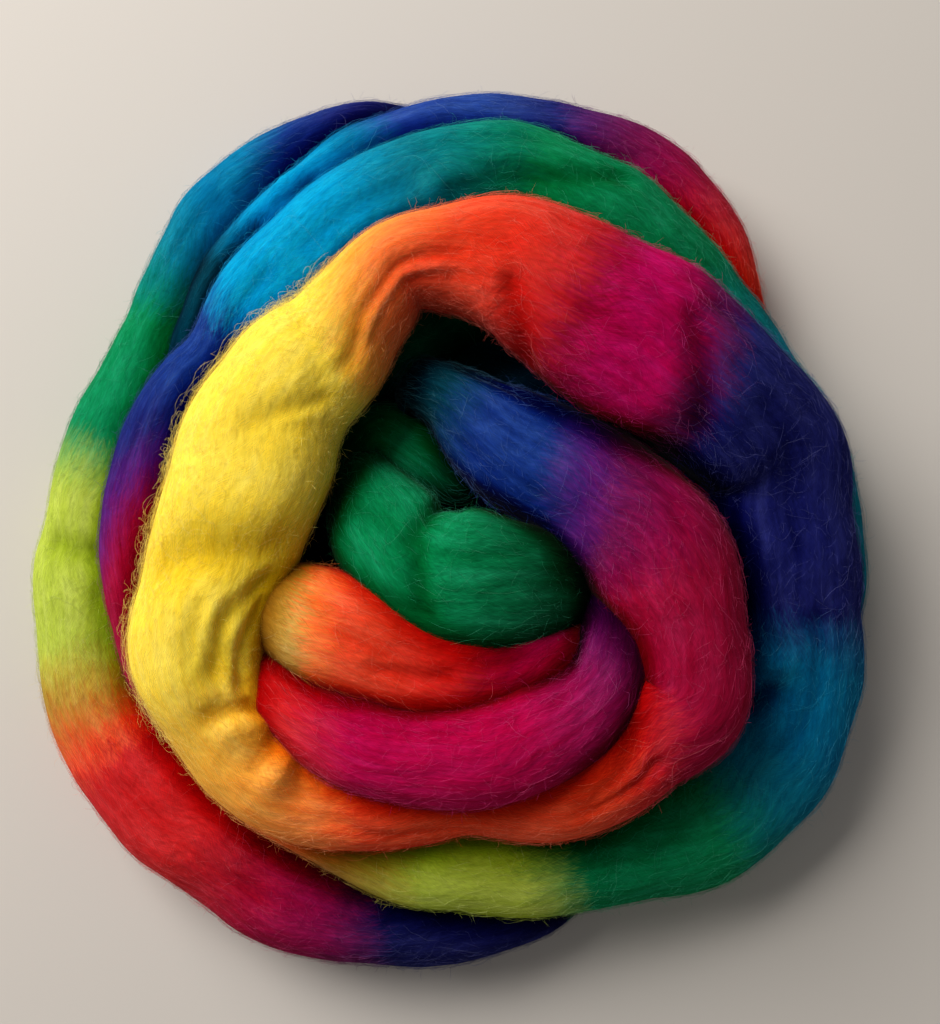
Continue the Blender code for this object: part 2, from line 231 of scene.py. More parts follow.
# Slow swelling of the strand: the share of the radius, the wavelength, waves round the section, the start.
SWELLS = (
    # share, wavelength, waves round, start
    (0.016, 71, 0, 0.4),
    (0.015, 47, 1, 1.9),
    (0.013, 33, 2, 3.1),
    (0.012, 58, 3, 5.0),
)

# Relief of the locks, which lie along the strand: each row is a lattice of seeded heights.
LOCKS = (
    # height, length of a lock, locks round, seed
    (0.60, 70, 9, 3),
    (0.22, 46, 19, 5),
    (0.08, 30, 38, 7),
)
LOCK_SWING = (0.5, 0.11, 0.8)  # angle that the locks swing through, metres for a radian of the swing, its start
LOCK_STRAY = 0.12  # angle that they stray by besides
STRAY_CELLS = (40, 4, 17)  # length, cells round, seed
LOCK_ROUNDNESS = 0.8  # 1 is a sharp ridge, and less is a rounder lock
LOCK_LEVEL = 0.45  # a lock's middling height, taken off so that the strand keeps its size
LUMPS = (
    # height, length, lumps round, seed
    (0.65, 24, 5, 11),
    (0.40, 13, 9, 13),
    (0.22, 7, 17, 19),
)

# The stretches of the strand, each one piece. The heap hides every station where two meet but that of the arch.
STRETCHES = (
    # name, first station, last station, ring spacing, sides
    ("roving_knot", 1, 29.4, 2.4, 112),
    ("roving_top_turn", 29.4, 320, 2.2, 120),
    ("roving_arch", 320, 584, 2.2, 120),
    ("roving_second_turn", 584, 852, 2.8, 112),
    ("roving_outer_turn", 852, 1108, 2.8, 108),
    ("roving_bed", 1108, 2085, 5.0, 64),
    ("roving_rim", 2085, 2234, 2.8, 108),
)

# Albedo of the wool in each dye.
DYES = {
    "yellow": (0.96, 0.74, 0.08), "amber": (0.92, 0.40, 0.05), "orange": (0.90, 0.22, 0.05),
    "scarlet": (0.84, 0.088, 0.032), "red": (0.60, 0.022, 0.025), "crimson": (0.33, 0.005, 0.038),
    "magenta": (0.50, 0.003, 0.10), "ruby": (0.43, 0.003, 0.062), "claret": (0.25, 0.004, 0.06),
    "plum": (0.17, 0.008, 0.08), "purple": (0.085, 0.010, 0.15), "indigo": (0.014, 0.017, 0.14),
    "navy": (0.010, 0.012, 0.10), "blue": (0.010, 0.036, 0.21), "cyan": (0.002, 0.30, 0.56),
    "teal_blue": (0.002, 0.16, 0.33), "royal": (0.022, 0.062, 0.30), "teal": (0.004, 0.18, 0.26),
    "deep_teal": (0.003, 0.05, 0.08), "green": (0.004, 0.22, 0.08), "deep_green": (0.003, 0.09, 0.034),
    "lime": (0.46, 0.56, 0.07), "olive": (0.48, 0.25, 0.035), "ochre": (0.60, 0.38, 0.085),
}

# The dyes along the strand, each with the stations where it is at its fullest.
DYE_STOPS = (
    ("purple", 1), ("plum", 2.6), ("ruby", 4, 6), ("red", 7, 8.2), ("scarlet", 9.6), ("ochre", 10.6, 11.75),
    ("orange", 12.15), ("scarlet", 12.7), ("red", 14.5), ("ruby", 15.3, 16.3), ("olive", 17.6),
    ("deep_green", 18.6, 20.3), ("green", 22.1, 28), ("deep_teal", 29.4, 31), ("blue", 32, 33.2),
    ("purple", 34), ("plum", 34.6), ("claret", 35.2), ("crimson", 36, 38), ("red", 141), ("scarlet", 150, 197),
    ("orange", 204), ("amber", 217), ("yellow", 236, 317), ("amber", 331), ("orange", 341), ("scarlet", 358),
    ("red", 388), ("crimson", 396), ("magenta", 404, 414), ("plum", 421), ("indigo", 428, 466),
    ("teal_blue", 474, 483), ("teal", 492), ("green", 501, 522), ("lime", 532, 546), ("olive", 557),
    ("orange", 567), ("red", 583), ("crimson", 604, 628), ("purple", 638), ("indigo", 645), ("blue", 654, 664),
    ("cyan", 672, 700), ("teal", 712), ("green", 735, 765), ("teal", 784, 826), ("indigo", 852),
    ("navy", 899, 909), ("claret", 918), ("crimson", 926), ("red", 938, 952), ("scarlet", 956),
    ("olive", 962.5), ("lime", 970, 991), ("green", 1001, 1022), ("teal", 1032), ("teal_blue", 1040, 1046),
    ("blue", 1053), ("indigo", 1062), ("navy", 1076), ("purple", 1108), ("crimson", 1180), ("scarlet", 1260),
    # The bed's dark dyes from 1460 to 2010 are painted shade for the dark pits of the hollow, where the bed shows.
    ("amber", 1330), ("green", 1400), ("deep_teal", 1460), ("navy", 1540, 1620), ("deep_teal", 1700),
    ("deep_green", 1770, 1830), ("deep_teal", 1930), ("deep_green", 2010), ("teal", 2080), ("deep_teal", 2116),
    ("cyan", 2128, 2138), ("teal_blue", 2146), ("royal", 2152, 2164), ("indigo", 2174), ("plum", 2185),
    ("claret", 2190), ("crimson", 2195), ("red", 2204), ("scarlet", 2216), ("orange", 2234),
)

# How far the dye on the strand's inner side is ahead of its middle, and that on its outer side behind it.
# Where the leans at 141 to 158 and 526 to 545 keep the darker dye on the side that lies in shade, they are painted
# shade as well as a slanted dye front.
DYE_LEANS = (
    # station, length
    (1, 0), (5, 0), (6.6, -8), (8.5, 0), (10.5, 0), (12, -8), (14, 0), (31.5, 0), (33.2, -10), (35, -10),
    (36, 0), (38, 8), (141, 12), (158, 11), (185, 0), (310, 0), (322, 16), (348, 20), (365, 8), (385, 0),
    (395, 0), (418, -8), (440, 0), (455, 0), (475, 9), (510, 0), (526, -9), (545, -6), (560, 0), (583, 0),
    (600, -28), (620, -30), (640, -13), (655, 0), (674, 10), (705, 0), (1022, 0), (1040, 13), (1066, 13),
    (1090, 0), (2234, 0),
)

CAMERA_AIM = (6.1, 1.2, 20.0)  # the point that the lens looks at
CAMERA_DISTANCE = 390.0
CAMERA_TILT = math.radians(6.66)  # from straight down
LENS = 38.0
SENSOR = 36.0
WINDOW_PLACE = (-1.05, 0.97, 1.10)  # metres, and it faces the origin
WINDOW_COLOUR = (1.0, 0.97, 0.92)
ROOM_COLOUR = (1.0, 0.97, 0.94)
FLOOR_REACH = 3.0  # metres from the middle to each edge


def strand_rows():
    """Stations and rows of x, y, height, width and thickness in metres, from the inner end to the outer."""
    knot, turns = np.array(KNOT, float), np.array(TURNS, float)
    clock, radius = np.radians(turns[:, 0]), turns[:, 1]
    around = np.column_stack((radius * np.sin(clock), radius * np.cos(clock), turns[:, 2:]))
    rows = np.vstack((knot[:, 1:], around))
    rows[:, :2] += AXIS_OFFSET
    return np.concatenate((knot[:, 0], turns[:, 0])), rows * MM


def smooth_rows(stations, rows, spacing):
    """Catmull-Rom through the rows, sampled about every spacing, with each sample's station."""
    padded = np.vstack((2 * rows[0] - rows[1], rows, 2 * rows[-1] - rows[-2]))
    samples, marks = [], []
    for i in range(len(rows) - 1):
        before, start, end, after = padded[i : i + 4]
        count = max(2, round(float(np.linalg.norm(end[:3] - start[:3])) / spacing))
        t = np.arange(count)[:, None] / count
        bend = 2 * before - 5 * start + 4 * end - after
        twist = 3 * start - before - 3 * end + after
        samples.append(start + 0.5 * ((end - before) * t + bend * t**2 + twist * t**3))
        marks.append(stations[i] + (stations[i + 1] - stations[i]) * t[:, 0])
    return np.concatenate(marks + [stations[-1:]]), np.vstack(samples + [rows[-1:]])


def unit(vectors):
    return vectors / np.maximum(np.linalg.norm(vectors, axis=-1, keepdims=True), 1e-12)


def eased(share):
    """A share from 0 to 1 that starts and ends gently: its square times 3 less 2 x the share."""
    return share * share * (3 - 2 * share)


def shade_by_nearness(near):
    """Painted shade of a point, 0 to 1, by how near another turn is: darkening in place of the shade between turns."""
    start, deepest = SHADE_NEAR
    return eased(np.clip((start - near) / (start - deepest), 0, 1))


def lattice(along, angle, length, around, seed):
    """Smooth random heights from -1 to 1: a seeded lattice, eased between its points, which closes round the strand."""
    rows = int(STRAND_MOST / (length * MM)) + 3
    heights = np.random.default_rng(seed).uniform(-1, 1, (rows, around))
    run = np.clip(along / (length * MM), 0, rows - 2)
    turn = np.mod(angle / (2 * np.pi), 1) * around
    i, j = np.floor(run).astype(int), np.floor(turn).astype(int) % around
    f, g = run - np.floor(run), turn - np.floor(turn)
    f, g = eased(f), eased(g)
    k = (j + 1) % around
    first = heights[i, j] * (1 - g) + heights[i, k] * g
    second = heights[i + 1, j] * (1 - g) + heights[i + 1, k] * g
    return first * (1 - f) + second * f


class Strand:
    """The strand's middle line as dense samples, and its surface as a function of length along it and section angle."""

    def __init__(self):
        self.stations, rows = smooth_rows(*strand_rows(), LINE_SPACING * MM)
        middle = rows[:, :3]
        steps = np.linalg.norm(np.diff(middle, axis=0), axis=1)
        self.along = np.concatenate(([0.0], np.cumsum(steps)))
        bell = np.hanning(BEND_SOFTNESS)
        slope = np.pad(np.gradient(middle, axis=0), ((BEND_SOFTNESS // 2,) * 2, (0, 0)), mode="edge")
        ahead = unit(np.stack([np.convolve(part, bell, mode="valid") for part in slope.T], axis=-1))
        outward = unit(np.cross([0.0, 0.0, 1.0], ahead))
        upward = np.cross(ahead, outward)
        self.samples = np.hstack((middle, outward, upward, ahead, rows[:, 3:5] / 2))

    def along_of(self, station):
        return np.interp(station, self.stations, self.along)

    def at(self, along):
        """Middle, outward, upward, ahead, half width and half thickness at each length."""
        flat = np.ravel(along)
        found = np.stack([np.interp(flat, self.along, column) for column in self.samples.T], axis=-1)
        found = found.reshape(np.shape(along) + (-1,))
        return (found[..., :3], unit(found[..., 3:6]), unit(found[..., 6:9]), unit(found[..., 9:12]),
                found[..., 12], found[..., 13])

    def fold_depth(self, along, angle, wider=1.0):
        """How far the folds press the surface in: the distance to the nearest part of each fold's line, in widths,
        to the power FOLD_SHARPNESS, falls off as a bell. Where folds meet, the deepest counts."""
        along, angle = np.broadcast_arrays(along, angle)
        pressed, raised = np.zeros(along.shape), np.zeros(along.shape)
        turned = np.mod(angle + np.pi / 2, 2 * np.pi) - np.pi / 2
        for depth, width, *line in FOLDS:
            width = width * wider
            marks = self.along_of(np.array([mark for mark, _ in line]))
            reach = 3 * width * MM
            near = np.nonzero((along > marks.min() - reach) & (along < marks.max() + reach))
            radius = np.interp(marks.mean(), self.along, self.samples[:, 12:14].mean(axis=1))
            spot = np.stack((along[near], radius * turned[near]), axis=-1)
            knots = np.column_stack((marks, radius * np.radians([side for _, side in line])))
            away = np.full(len(spot), reach)
            for start, end in zip(knots[:-1], knots[1:]):
                run = end - start
                share = np.clip((spot - start) @ run / (run @ run), 0, 1)
                away = np.minimum(away, np.linalg.norm(spot - start - share[:, None] * run, axis=1))
            bell = abs(depth) * MM * np.exp(-((away / (width * MM)) ** FOLD_SHARPNESS))
            target = pressed if depth > 0 else raised
            target[near] = np.maximum(target[near], bell)
        return pressed - raised

    def relief(self, along, angle):
        """Height of locks and lumps: rounded locks are the absolute value of a lattice, whose zeros are their
        creases, and they wind to and fro round the strand."""
        swing, length, start = LOCK_SWING
        drift = angle + swing * np.sin(along / length + start) + LOCK_STRAY * lattice(along, angle, *STRAY_CELLS)
        height = np.zeros(drift.shape)
        for tall, length, around, seed in LOCKS:
            locks = np.abs(lattice(along, drift, length, around, seed)) ** LOCK_ROUNDNESS
            height += tall * MM * (locks - LOCK_LEVEL)
        for tall, length, around, seed in LUMPS:
            height += tall * MM * lattice(along, angle, length, around, seed)
        return height

    def surface(self, along, angle, lift=0.0):
        """Point on the skin: middle + half width x cos to the side + half thickness x sin upwards, swollen by the
        slow waves, moved along the section's normal by relief, folds and lift, and pressed flat on the table."""
        along, angle = np.broadcast_arrays(along, angle)
        middle, outward, upward, _, half_width, half_thick = self.at(along)
        size = np.ones(along.shape)
        for share, wavelength, waves, start in SWELLS:
            size += share * np.sin(2 * np.pi * along / (wavelength * MM) + waves * angle + start)
        power = 2 / SQUARENESS
        level = np.sign(np.cos(angle)) * np.abs(np.cos(angle)) ** power * half_width * size
        height = np.sign(np.sin(angle)) * np.abs(np.sin(angle)) ** power * half_thick * size
        normal = unit((np.cos(angle) / half_width)[..., None] * outward
                      + (np.sin(angle) / half_thick)[..., None] * upward)
        push = self.relief(along, angle) - self.fold_depth(along, angle) + lift
        points = middle + level[..., None] * outward + height[..., None] * upward + push[..., None] * normal
        low = points[..., 2]
        soft = TABLE_SOFTNESS * MM
        points[..., 2] = (low + np.sqrt(low**2 + soft**2)) / 2
        return points, normal

    def nearness(self, points, along):
        """How near each point is to another turn's skin: 1 on it, less inside it, and more outside it."""
        every = np.arange(0.0, self.along[-1], PROBE_SPACING * MM)
        middle, outward, upward, ahead, half_width, half_thick = self.at(every)
        nearest = np.full(len(points), FAR)
        for part in np.array_split(np.arange(len(points)), max(1, len(points) // POINTS_AT_ONCE)):
            away = points[part, None] - middle
            across = np.einsum("pqk,qk->pq", away, outward) / half_width
            up = np.einsum("pqk,qk->pq", away, upward) / half_thick
            past = np.abs(np.einsum("pqk,qk->pq", away, ahead))
            near = np.hypot(across, up)
            near[past > PROBE_SPACING * MM] = FAR
            near[np.abs(along[part, None] - every) < OWN_REACH * MM] = FAR
            nearest[part] = near.min(axis=1)
        return nearest


@functools.lru_cache(maxsize=1)
def the_strand():
    return Strand()


def make_mesh(name, points, *faces):
    """A smooth-shaded mesh from an array of points and arrays of faces with three or four corners."""
    corners = np.concatenate([part.ravel() for part in faces]).astype(np.int32)
    sizes = np.concatenate([np.full(len(part), part.shape[1]) for part in faces])
    starts = np.concatenate(([0], np.cumsum(sizes)[:-1])).astype(np.int32)
    mesh = bpy.data.meshes.new(name)
    mesh.vertices.add(len(points))
    mesh.vertices.foreach_set("co", points.astype(np.float32).ravel())
    mesh.loops.add(len(corners))
    mesh.loops.foreach_set("vertex_index", corners)
    mesh.polygons.add(len(sizes))
    mesh.polygons.foreach_set("loop_start", starts)
    mesh.update(calc_edges=True)
    mesh.shade_smooth()
    return mesh


def add_numbers(mesh, name, values):
    layer = mesh.attributes.new(name, "FLOAT", "POINT")
    layer.data.foreach_set("value", values.astype(np.float32).ravel())


def add_map(mesh, name, places):
    layer = mesh.uv_layers.new(name=name)
    layer.uv.foreach_set("vector", places.astype(np.float32).ravel())


def add_object(name, data):
    made = bpy.data.objects.new(name, data)
    bpy.context.scene.collection.objects.link(made)
    return made


def add_piece(mesh, material):
    """The piece's object at the origin, in the scene and on its body."""
    piece = add_object(mesh.name, mesh)
    mesh.materials.append(material)
    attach(piece, BODY)
    return piece


def new_material(name, **values):
    """A material with these values at its shader's inputs, and that shader. A space in an input's name is _."""
    material = bpy.data.materials.new(name)
    material.use_nodes = True
    shader = material.node_tree.nodes["Principled BSDF"]
    for label, value in values.items():
        shader.inputs[label.replace("_", " ")].default_value = value
    return material, shader


# ---- dye ----

RAMP_STOPS = 32  # the most that a colour ramp holds

# Noise of the fibre grain: its turn from the strand's direction, its length and width in widths of the finest
# fibre, its detail and its seed.
GRAIN = {
    "along": (0.0, 26.0, 1.8, 3.0, 2),
    "left": (0.30, 12.0, 0.9, 2.0, 3),
    "right": (-0.36, 10.0, 0.9, 2.0, 4),
    "lock": (0.0, 110.0, 6.0, 2.0, 5),
    "cloud": (0.3, 22.0, 13.0, 2.0, 6),
    "front": (0.0, 30.0, 1.5, 2.0, 7),
    "frizz_left": (0.2, 13.0, 0.8, 2.0, 8),
    "frizz_right": (-0.5, 9.0, 0.8, 2.0, 9),
}
GRAIN_SHIFT = (17.3, 31.7)  # how far a seed moves the noise along and round the strand
GRAIN_RANGES = {"Streak": (0.35, 0.65), "Lock": (0.34, 0.66), "Front": (0.33, 0.67), "Down": (0.56, 0.70)}


def dye_colours(settings):
    """Lengths along the strand in metres and the dye's colour at each."""
    stops = [(mark, dye) for dye, *marks in DYE_STOPS for mark in marks]
    along = the_strand().along_of(np.array([mark for mark, _ in stops]))
    colours = np.array([tuple(getattr(settings, dye)) for _, dye in stops])
    return along, colours


def dye_at(settings, along):
    lengths, colours = dye_colours(settings)
    return np.stack([np.interp(along, lengths, channel) for channel in colours.T], axis=-1)


def dyed_at(strand, along, angle):
    """The length whose dye a point has: its own, less its lean x cos of its section angle."""
    lean = np.interp(along, strand.along_of(np.array([mark for mark, _ in DYE_LEANS])),
                     [length * MM for _, length in DYE_LEANS])
    return along - lean * np.cos(angle)


class Nodes:
    """A node tree and short ways to fill it."""

    def __init__(self, tree):
        self.tree = tree

    def add(self, kind, values=None, **settings):
        """A node with these settings, and at its inputs plain values or links from other nodes' outputs."""
        node = self.tree.nodes.new(kind)
        for name, value in settings.items():
            setattr(node, name, value)
        for name, value in (values or {}).items():
            self.feed(node.inputs[name], value)
        return node

    def feed(self, socket, value):
        if hasattr(value, "is_output"):
            self.tree.links.new(value, socket)
        else:
            socket.default_value = value

    def math(self, operation, *values):
        return self.add("ShaderNodeMath", dict(enumerate(values)), operation=operation).outputs[0]

    def blend(self, *parts):
        """The sum of values, each times its weight."""
        total = self.math("MULTIPLY", *parts[-1])
        for value, weight in reversed(parts[:-1]):
            total = self.math("MULTIPLY_ADD", value, weight, total)
        return total

    def ranged(self, value, low, high):
        """The value where low is 0 and high is 1, kept between them."""
        return self.add("ShaderNodeMapRange", {"Value": value, "From Min": low, "From Max": high}).outputs[0]


def new_group(name, inputs, outputs):
    """A shader node group with these sockets, as (name, kind, default) rows, and its two ends."""
    tree = bpy.data.node_groups.new(name, "ShaderNodeTree")
    for rows, direction in ((inputs, "INPUT"), (outputs, "OUTPUT")):
        for label, kind, default in rows:
            socket = tree.interface.new_socket(label, in_out=direction, socket_type="NodeSocket" + kind)
            if default is not None:
                socket.default_value = default
    return tree, tree.nodes.new("NodeGroupInput").outputs, tree.nodes.new("NodeGroupOutput").inputs


@functools.lru_cache(maxsize=1)
def fibre_grain():
    """Fibre of the strand's surface from metres along it and round it: fine strokes in three directions, coarser
    locks along it, soft clouds, an uneven front for the dye, and the strokes of the down. Each is noise stretched
    along its strokes."""
    tree, given, out = new_group(
        "Fibre grain",
        (("Place", "Vector", None), ("Width", "Float", 0.0004)),
        [(label, "Float", None) for label in ("Streak", "Lock", "Front", "Height", "Down")],
    )
    nodes = Nodes(tree)
    finest = nodes.math("DIVIDE", 1.0, given["Width"])

    def strokes(turn, length, width, detail, seed):
        turned = nodes.add("ShaderNodeVectorRotate", {"Vector": given["Place"], "Angle": turn},
                           rotation_type="Z_AXIS")
        scale = nodes.add("ShaderNodeCombineXYZ", {"X": nodes.math("DIVIDE", finest, length),
                                                   "Y": nodes.math("DIVIDE", finest, width)})
        shift = (GRAIN_SHIFT[0] * seed, GRAIN_SHIFT[1] * seed, 0)
        place = nodes.add("ShaderNodeVectorMath", {0: turned.outputs[0], 1: scale.outputs[0], 2: shift},
                          operation="MULTIPLY_ADD")
        return nodes.add("ShaderNodeTexNoise", {"Vector": place.outputs[0], "Scale": 1.0, "Detail": detail,
                                                "Roughness": 0.55}, noise_dimensions="2D").outputs["Fac"]

    grain = {name: strokes(*row) for name, row in GRAIN.items()}
    slants = nodes.math("ADD", grain["left"], grain["right"])
    frizz = nodes.math("MAXIMUM", grain["frizz_left"], grain["frizz_right"])
    made = {
        "Streak": nodes.blend((grain["along"], 0.4), (slants, 0.3)),
        "Lock": nodes.blend((grain["lock"], 0.6), (grain["cloud"], 0.4)),
        "Front": nodes.blend((grain["front"], 0.3), (slants, 0.25), (grain["cloud"], 0.2)),
        "Down": frizz,
    }
    for label, value in made.items():
        tree.links.new(nodes.ranged(value, *GRAIN_RANGES[label]), out[label])
    tree.links.new(nodes.blend((grain["cloud"], 2.6), (grain["along"], 0.3)), out["Height"])
    return tree


@functools.lru_cache(maxsize=1)
def dye_grain_and_painted_shade():
    """Dye with painted shade and the fibres' grain: a gamma of each channel, 1.12 more 1.3 x the painted shade less
    0.24 x the lock, then a change of value: the streak's contrast, less in a pale dye, and up to 0.35 darker in
    painted shade. The painted shade makes the dye fuller and darker near other turns and in folds, where shade falls."""
    tree, given, out = new_group(
        "Deep dye",
        (("Colour", "Color", (0.5, 0.5, 0.5, 1)), ("Crease", "Float", 0.0), ("Streak", "Float", 0.5),
         ("Lock", "Float", 0.5), ("Contrast", "Float", 0.5)),
        (("Colour", "Color", None),),
    )
    nodes = Nodes(tree)
    # painted shade makes the dye fuller, and the lock varies it at random
    gamma_of_shade_and_lock = nodes.math("MULTIPLY_ADD", given["Crease"], 1.3,
                        nodes.math("MULTIPLY_ADD", given["Lock"], -0.24, 1.12))
    shaded_dye = nodes.add("ShaderNodeGamma", {"Color": given["Colour"], "Gamma": gamma_of_shade_and_lock}).outputs[0]
    pale = nodes.add("ShaderNodeRGBToBW", {"Color": given["Colour"]}).outputs[0]
    uneven = nodes.math("MULTIPLY", nodes.math("SUBTRACT", given["Streak"], 0.5),
                        nodes.math("SUBTRACT", 1.15, pale))
    value = nodes.math("MULTIPLY_ADD", uneven, given["Contrast"], 1.0)
    # painted shade darkens the value by up to 0.35
    value = nodes.math("MULTIPLY", value, nodes.math("MULTIPLY_ADD", given["Crease"], -0.35, 1.0))
    level = nodes.add("ShaderNodeCombineXYZ", {"X": value, "Y": value, "Z": value})
    scaled = nodes.add("ShaderNodeVectorMath", {0: shaded_dye, 1: level.outputs[0]}, operation="MULTIPLY")
    tree.links.new(scaled.outputs[0], out["Colour"])
    return tree


def new_wool(name, settings):
    """A material with the plain values of wool, rough and without a highlight, with a faint sheen."""
    material, shader = new_material(name, Roughness=settings.roughness, Specular_IOR_Level=0.0,
                                    Sheen_Weight=settings.sheen, Sheen_Roughness=0.45)
    return material, Nodes(material.node_tree), shader


def skin_material(name, settings, start, end, thin):
    """Wool dyed in stops from one length of the strand to another, with painted shade and fibre grain in its colour and
    fibre grain in its bump. Thin wool has gaps between its strokes instead of the bump."""
    material, nodes, shader = new_wool(name, settings)
    place = nodes.add("ShaderNodeUVMap", uv_map="strand").outputs[0]
    grain = nodes.add("ShaderNodeGroup", {"Place": place}, node_tree=fibre_grain())
    dyed = nodes.add("ShaderNodeAttribute", attribute_name="dyed_at").outputs["Fac"]
    # painted shade, worked out on the skin near other turns and in folds
    crease = nodes.add("ShaderNodeAttribute", attribute_name="crease").outputs["Fac"]
    if not thin:
        dyed = nodes.math("MULTIPLY_ADD", nodes.math("SUBTRACT", grain.outputs["Front"], 0.5),
                          settings.front_length * 2, dyed)
    ramp = nodes.add("ShaderNodeValToRGB", {"Fac": nodes.ranged(dyed, start, end)})
    fill_ramp(ramp.color_ramp, settings, start, end)
    shaded_dye = nodes.add("ShaderNodeGroup", {"Colour": ramp.outputs[0], "Crease": crease}, node_tree=dye_grain_and_painted_shade())
    nodes.feed(shader.inputs["Base Color"], shaded_dye.outputs[0])
    if thin:
        cover = nodes.math("MULTIPLY", grain.outputs["Down"], settings.down_cover)
        nodes.feed(shader.inputs["Alpha"], cover)
    else:
        for name in ("Streak", "Lock"):
            nodes.feed(shaded_dye.inputs[name], grain.outputs[name])
        nodes.feed(shaded_dye.inputs["Contrast"], settings.streak_contrast)
        bump = nodes.add("ShaderNodeBump", {"Strength": settings.bump, "Distance": 0.0006,
                                            "Height": grain.outputs["Height"]})
        nodes.feed(shader.inputs["Normal"], bump.outputs[0])
    return material


def fill_ramp(ramp, settings, start, end):
    """Puts a stop at each dye between start and end, and one at each of those two."""
    lengths, colours = dye_colours(settings)
    inside = (lengths > start + 1e-4) & (lengths < end - 1e-4)
    places = np.concatenate(([start], lengths[inside], [end]))
    shades = np.vstack((dye_at(settings, start)[None], colours[inside], dye_at(settings, end)[None]))
    if len(places) > RAMP_STOPS:
        raise ValueError(f"a colour ramp holds {RAMP_STOPS} stops, and this stretch has {len(places)} dyes")
    for place, shade in zip((places - start) / (end - start), shades):
        at_end = place > 0.999
        stop = ramp.elements[-1] if at_end else ramp.elements.new(float(place))
        stop.position = float(place)
        stop.color = (*map(float, shade), 1.0)
    ramp.elements.remove(ramp.elements[0])


def fibre_material(settings):
    """Loose fibre in the dye of its own place on the strand, with its painted glint and painted shade."""
    material, nodes, shader = new_wool("loose_wool", settings)
    # dye with a painted glint, and painted shade near other turns
    dye = nodes.add("ShaderNodeAttribute", attribute_name="dye").outputs["Color"]
    nodes.feed(shader.inputs["Base Color"], dye)
    return material


# ---- skin ----

def stretch_grid(strand, first, last, spacing):
    """Lengths of the rings, and how much of the section each has: the ends close as quarter circles."""
    dome = END_ROUNDING * MM
    start, end = float(strand.along_of(first)), float(strand.along_of(last))
    start, end = max(start - dome, 0.0), min(end + dome, float(strand.along[-1]))
    count = int((end - start) / (spacing * MM)) + 1
    along = np.linspace(start, end, count)
    edge = np.clip(np.minimum(along - start, end - along) / dome, 0, 1)
    return along[1:-1], np.sqrt(1 - (1 - edge[1:-1]) ** 2), start, end


def skin_mesh(name, strand, first, last, spacing, sides, lift):
    """A stretch of the strand at a height over its skin: rings of points round it, a pole at each end, and maps."""
    along, share, start, end = stretch_grid(strand, first, last, spacing)
    angle = SEAM + np.arange(sides) * 2 * np.pi / sides
    points, _ = strand.surface(along[:, None], angle[None, :], lift)
    middle = points.mean(axis=1, keepdims=True)
    points = middle + share[:, None, None] * (points - middle)
    poles = strand.at(np.array((start, end)))[0]
    rings, total = len(along), len(along) * sides
    index = np.arange(total).reshape(rings, sides)
    following = np.roll(index, -1, axis=1)
    quads = np.stack((index[:-1], index[1:], following[1:], following[:-1]), axis=-1).reshape(-1, 4)
    caps = [np.stack((np.full(sides, total), index[0], following[0]), axis=-1),
            np.stack((np.full(sides, total + 1), following[-1], index[-1]), axis=-1)]
    mesh = make_mesh(name, np.vstack((points.reshape(-1, 3), poles)), quads, *caps)

    dyed = dyed_at(strand, along[:, None], angle[None, :]).ravel()
    add_numbers(mesh, "dyed_at", np.concatenate((dyed, (start, end))))
    # painted shade at each point, full at the two poles
    add_numbers(mesh, "crease", np.concatenate((painted_shade_of(strand, along, angle).ravel(), (1.0, 1.0))))

    ring, side = np.divmod(np.arange((rings - 1) * sides), sides)
    corner_ring = ring[:, None] + (0, 1, 1, 0)
    corner_side = side[:, None] + (0, 0, 1, 1)
    around = np.concatenate((corner_side.ravel(), np.tile((0.5, 0, 1), 2 * sides) + np.repeat(
        np.tile(np.arange(sides), 2), 3))) / sides
    length = np.concatenate((along[corner_ring].ravel(), np.tile((start, along[0], along[0]), sides),
                             np.tile((end, along[-1], along[-1]), sides)))
    wander = WANDER * MM * lattice(length, around * 2 * np.pi, *WANDER_CELLS)
    add_map(mesh, "strand", np.column_stack((length, around * GIRTH * MM + wander)))
    add_bake_map(mesh, corner_ring, corner_side, ring, rings, sides, spacing)
    return mesh, start, end


def add_bake_map(mesh, corner_ring, corner_side, ring, rings, sides, spacing):
    """The stretch cut into equal strips that lie one above another in the unit square, with a margin round each.
    The triangles of both caps stand in a row over them, in the top 3%."""
    strips = max(1, round(math.sqrt(rings * spacing / STRIP_GIRTH)))
    each = math.ceil((rings - 1) / strips)
    strip = ring // each
    across = (corner_ring - (strip * each)[:, None]) / each * 0.98 + 0.01
    up = (strip[:, None] + corner_side / sides * 0.94 + 0.03) / strips * 0.97
    spots = np.arange(2 * sides)
    fans = np.stack((spots, spots, spots + 0.8), axis=-1) / (2 * sides) * 0.98 + 0.01
    fan_up = np.tile((0.975, 0.995, 0.995), (2 * sides, 1))
    places = np.stack((np.concatenate((across.ravel(), fans.ravel())),
                       np.concatenate((up.ravel(), fan_up.ravel()))), axis=-1)
    add_map(mesh, "OFBake", places)


